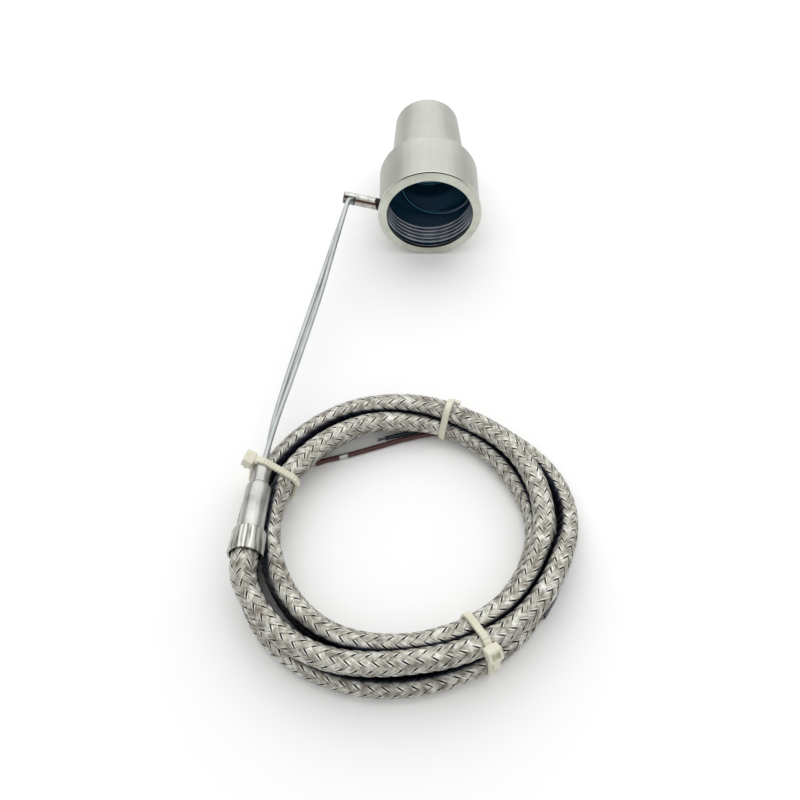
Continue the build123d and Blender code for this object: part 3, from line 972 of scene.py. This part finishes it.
def make_brown_band(material):
    """The silver band between the brown wire and its last stretch, standing on the surface."""
    end = brown_wire_points()[-1] + Vector((0, 0, CRIMP_BULGE))
    after = Vector((BROWN_END[0][0] * MM, BROWN_END[0][1] * MM, end.z))
    along = (after - end).normalized()
    length = (after - end).length + CRIMP_OVERLAP
    bulge = BROWN_WIRE_R + CRIMP_BULGE
    profile = [
        (0.3 * MM, -CRIMP_OVERLAP, 0),
        (bulge - 0.12 * MM, -CRIMP_OVERLAP, 0),
        (bulge, -0.15 * MM, 0),
        (bulge - 0.05 * MM, length * 0.45, 0),
        (bulge, length - 0.15 * MM, 0),
        (bulge - 0.12 * MM, length, 0),
        (0.3 * MM, length, 0),
    ]
    crimp = turned_piece("brown_wire_crimp", profile, end, along, material)
    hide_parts("brown_wire_band")
    return crimp


def make_bare_strands(route, material):
    """Fine bare strands that fan out a little from the black wire's end."""
    curve = new_curve("black_wire_bare_strands", BARE_STRAND_R, roundness=3)
    along = (route[-1] - route[-2]).normalized()
    up = Vector((0, 0, 1))
    side = along.cross(up)
    for strand in range(BARE_STRANDS):
        angle = 2 * math.pi * strand / (BARE_STRANDS - 1)
        out = 0.0 if strand == BARE_STRANDS - 1 else 1.0
        offset = (side * math.cos(angle) + up * math.sin(angle)) * out
        tip = 2.3 + 0.25 * math.sin(5 * strand)
        places = [(-0.8, 0.22), (0.2, 0.25), (1.3, 0.3), (tip, 0.42)]
        add_spline(curve, [route[-1] + along * ahead * MM + offset * apart * MM for ahead, apart in places])
    strands = visible_piece(curve, material)
    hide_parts("black_wire_strands")
    return strands


# Cable ties


def hull(points):
    """Convex hull of points in a plane, counter-clockwise."""
    ordered = sorted(set(points))

    def half(sequence):
        chain = []
        for point in sequence:
            while len(chain) > 1:
                (ax, ay), (bx, by) = chain[-2], chain[-1]
                if (bx - ax) * (point[1] - ay) - (by - ay) * (point[0] - ax) > 0:
                    break
                chain.pop()
            chain.append(point)
        return chain[:-1]

    return half(ordered) + half(reversed(ordered))


def strap_outline(degrees, extra_circles, gap):
    """Points of the loop that a strap takes round the lead's turns at one angle, as (radius, z)."""
    circles = list(extra_circles)
    for lap in range(5):
        angle = degrees % 360 + 360 * lap
        if COIL_STATIONS[0][0] <= angle <= COIL_STATIONS[-1][0]:
            circles.append((*station_at(angle), LEAD_R))
    points = []
    for radius, z, size in circles:
        for turn in np.linspace(0, 2 * math.pi, 48, endpoint=False):
            low = SURFACE_Z + STRAP_THICKNESS * 0.1
            height = max(z + (size + gap) * math.sin(turn), low)
            points.append((round(radius + (size + gap) * math.cos(turn), 7), round(height, 7)))
    corners = np.array(hull(points))
    closed = np.vstack([corners, corners[:1]])
    lengths = np.concatenate([[0], np.cumsum(np.linalg.norm(np.diff(closed, axis=0), axis=1))])
    count = int(lengths[-1] / (RIB_PITCH / POINTS_PER_RIB))
    at = np.linspace(0, lengths[-1], count, endpoint=False)
    return np.stack([np.interp(at, lengths, closed[:, 0]), np.interp(at, lengths, closed[:, 1])], axis=1)


class Tie:
    """A cable tie in a plane through the coil's axis."""

    def __init__(self, name, degrees, head_towards, extra_circles=(), ribbed=False, head_scale=1.0):
        self.name = name
        self.ribbed = ribbed
        self.origin = around_coil(degrees, 0, 0)
        self.out = around_coil(degrees, 1, 0) - self.origin
        self.width = Vector((0, 0, 1)).cross(self.out)
        self.outline = strap_outline(degrees, extra_circles, STRAP_GAP)
        towards = np.array(head_towards) / np.linalg.norm(head_towards)
        self.head_index = int(np.argmax(self.outline @ towards))
        self.head_scale = head_scale

    def place(self, radius, z, across):
        return self.origin + self.out * radius + Vector((0, 0, z)) + self.width * across

    def normals(self):
        tangent = np.roll(self.outline, -2, axis=0) - np.roll(self.outline, 2, axis=0)
        tangent /= np.linalg.norm(tangent, axis=1)[:, None]
        return np.stack([tangent[:, 1], -tangent[:, 0]], axis=1), tangent

    def strap(self, material):
        """The band: a flat section with softened edges, ribbed on its outer side where asked."""
        normal, _ = self.normals()
        half = STRAP_WIDTH / 2
        top = half - STRAP_EDGE
        section = [(-half, 0.0), (half, 0.0), (half, 0.7), (top, 1.0), (-top, 1.0), (-half, 0.7)]
        vertices = []
        for k, (point, direction) in enumerate(zip(self.outline, normal)):
            rib = RIB_HEIGHT if self.ribbed and k % POINTS_PER_RIB in (0, 1) else 0.0
            for across, level in section:
                thick = level * STRAP_THICKNESS * 0.85 + (rib if level == 1.0 else 0.0)
                radius, z = point + direction * thick
                vertices.append(self.place(radius, max(z, SURFACE_Z), across))
        faces = closed_faces(len(self.outline), len(section))
        name = self.name + "_strap"
        return mesh_piece(name, vertices, faces, material, smooth=not self.ribbed)

    def head(self, material):
        """The head: a rounded block with a sunk window, and the cut tail that stands out of it."""
        normal, tangent = self.normals()
        index = self.head_index
        point = self.outline[index]
        out = (self.out * normal[index][0] + Vector((0, 0, normal[index][1]))).normalized()
        run = (self.out * tangent[index][0] + Vector((0, 0, tangent[index][1]))).normalized()
        centre = self.place(point[0], point[1], 0) + out * HEAD_OUT * self.head_scale
        block = bmesh.new()
        bmesh.ops.create_cube(block, size=1.0)
        bmesh.ops.scale(block, vec=HEAD_SIZE, verts=block.verts)
        rounding = {"offset": HEAD_ROUNDING, "segments": 3, "profile": 0.6, "clamp_overlap": True}
        bmesh.ops.bevel(block, geom=block.edges[:], affect="EDGES", **rounding)
        block.faces.ensure_lookup_table()
        top = max(block.faces, key=lambda f: (round(f.calc_center_median().z, 6), f.calc_area()))
        bmesh.ops.inset_individual(block, faces=[top], thickness=WINDOW_RIM)
        moved = bmesh.ops.extrude_discrete_faces(block, faces=[top])["faces"][0]
        bmesh.ops.translate(block, vec=(0, 0, -WINDOW_DEPTH), verts=moved.verts)
        self.tail(block)
        axes = Matrix((run, self.width, out)).transposed().to_4x4()
        mesh = bpy.data.meshes.new(self.name + "_head")
        block.transform(Matrix.Translation(centre) @ axes @ Matrix.Scale(self.head_scale, 4))
        sunk = SURFACE_Z - min(vertex.co.z for vertex in block.verts)
        block.transform(Matrix.Translation((0, 0, max(sunk, 0.0))))
        bmesh.ops.recalc_face_normals(block, faces=block.faces)
        block.to_mesh(mesh)
        block.free()
        return visible_piece(mesh, material)

    def tail(self, block):
        """The strap's cut end, past the head."""
        made = bmesh.ops.create_cube(block, size=1.0)["verts"]
        bmesh.ops.scale(block, vec=(TAIL_LENGTH, STRAP_WIDTH * 0.94, TAIL_THICKNESS), verts=made)
        bmesh.ops.translate(block, vec=(-TAIL_FROM - TAIL_LENGTH / 2, 0, 0.1 * MM), verts=made)


# Scene


def make_stage():
    """A pale matt floor."""
    bpy.ops.mesh.primitive_plane_add(size=6, location=(0, 0, SURFACE_Z))
    floor = bpy.context.object
    floor.name = "floor"
    finish = Finish("floor_white", 0.0, 0.9, (0.93, 0.93, 0.93))
    cloud = finish.noise(finish.coordinates(), 2.0, 2)
    finish.color(finish.ramp(cloud, (0.3, (0.93, 0.93, 0.93)), (0.7, (0.95, 0.95, 0.95))))
    finish.shader.inputs["Specular IOR Level"].default_value = 0.0
    floor.data.materials.append(finish.material)


def make_sky():
    """White overhead and grey just above the horizon, so that bright metal has something to mirror."""
    world = bpy.data.worlds.new("studio")
    bpy.context.scene.world = world
    world.use_nodes = True
    nodes, links = world.node_tree.nodes, world.node_tree.links
    background = nodes["Background"]
    source = nodes.new("ShaderNodeTexCoord")
    split = nodes.new("ShaderNodeSeparateXYZ")
    links.new(source.outputs["Generated"], split.inputs[0])
    ramp = nodes.new("ShaderNodeValToRGB")
    fill_ramp(ramp, [(position, (grey, grey, grey)) for position, grey in SKY_STOPS])
    links.new(split.outputs["Z"], ramp.inputs["Fac"])
    links.new(ramp.outputs["Color"], background.inputs["Color"])
    background.inputs["Strength"].default_value = SKY_STRENGTH


def make_lamp():
    """One large soft lamp, high behind the part."""
    light = bpy.data.lights.new("key_behind", "AREA")
    light.shape = "DISK"
    light.size = LAMP_SIZE
    light.energy = LAMP_POWER
    obj = link(bpy.data.objects.new("key_behind", light))
    obj.location = LAMP_PLACE
    obj.rotation_mode = "QUATERNION"
    obj.rotation_quaternion = (Vector(LAMP_TARGET) - Vector(LAMP_PLACE)).to_track_quat("-Z", "Y")


def dress_metal():
    """The metal pieces of the head, rods and sleeve; returns the finish that the brown wire's band shares."""
    bright = bright_finish()
    rods = rod_finish()
    dress("front_ring", ring_finish())
    dress("outer_sleeve", sleeve_finish())
    make_winding(element_finish())
    dress("lead_guide_tube", guide_finish())
    dress("power_lead_rod", rods)
    dress("thermocouple_rod", rods)
    make_transition(bright, skirt_finish())
    dress("potting_plug", plain_finish("potting_dark", (0.02, 0.02, 0.02), (0.06, 0.055, 0.05), 0.7))
    return bright


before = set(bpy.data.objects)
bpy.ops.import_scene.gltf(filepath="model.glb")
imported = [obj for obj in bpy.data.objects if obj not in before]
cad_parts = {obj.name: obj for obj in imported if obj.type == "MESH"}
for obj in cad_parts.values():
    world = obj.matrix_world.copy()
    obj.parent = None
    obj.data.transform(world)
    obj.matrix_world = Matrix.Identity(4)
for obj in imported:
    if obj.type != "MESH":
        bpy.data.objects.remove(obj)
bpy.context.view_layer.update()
bpy.context.scene.view_settings.view_transform = "Standard"

make_camera()
make_sky()
make_stage()
make_lamp()

bright = dress_metal()
black = plain_finish("black_sheath", (0.006, 0.010, 0.018), (0.018, 0.035, 0.05), 0.32)
maroon = plain_finish("maroon_sheath", (0.045, 0.012, 0.010), (0.09, 0.028, 0.022), 0.38)
nylon = plain_finish("tie_nylon", (0.64, 0.62, 0.49), (0.75, 0.73, 0.60), 0.4)

lead_core, lead_braids = make_lead()
shrink_tube = make_shrink_sleeve(black)

brown_wire = round_cord("brown_lead_wire", brown_wire_points(), BROWN_WIRE_R, maroon)
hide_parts("brown_wire")
black_wire = round_cord("black_lead_wire", black_wire_points(), BLACK_WIRE_R, black)
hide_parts("black_wire")
brown_end = make_brown_end(maroon)
brown_crimp = make_brown_band(bright)
# Bare tinned strands in a dark tone: painted shade
tinned = plain_finish("tinned_strands_shaded", (0.07, 0.08, 0.09), (0.22, 0.23, 0.24), 0.35)
bare_strands = make_bare_strands(black_wire_points(), tinned)

ties = {
    "left_tie": Tie("left_tie", LEFT_TIE_DEG, (0.93, 0.37), extra_circles=[COLLAR_CIRCLE], ribbed=True),
    "far_tie": Tie("far_tie", FAR_TIE_DEG, (1.0, -0.5), head_scale=0.72),
    "near_tie": Tie("near_tie", NEAR_TIE_DEG, (0.85, 0.5), ribbed=True),
}
tie_pieces = []
for tie_name, tie in ties.items():
    strap = tie.strap(nylon)
    head = tie.head(nylon)
    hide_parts(tie_name)
    tie_pieces += [strap, head]

tuple(brown_wire_points()[0])
tuple(black_wire_points()[0])
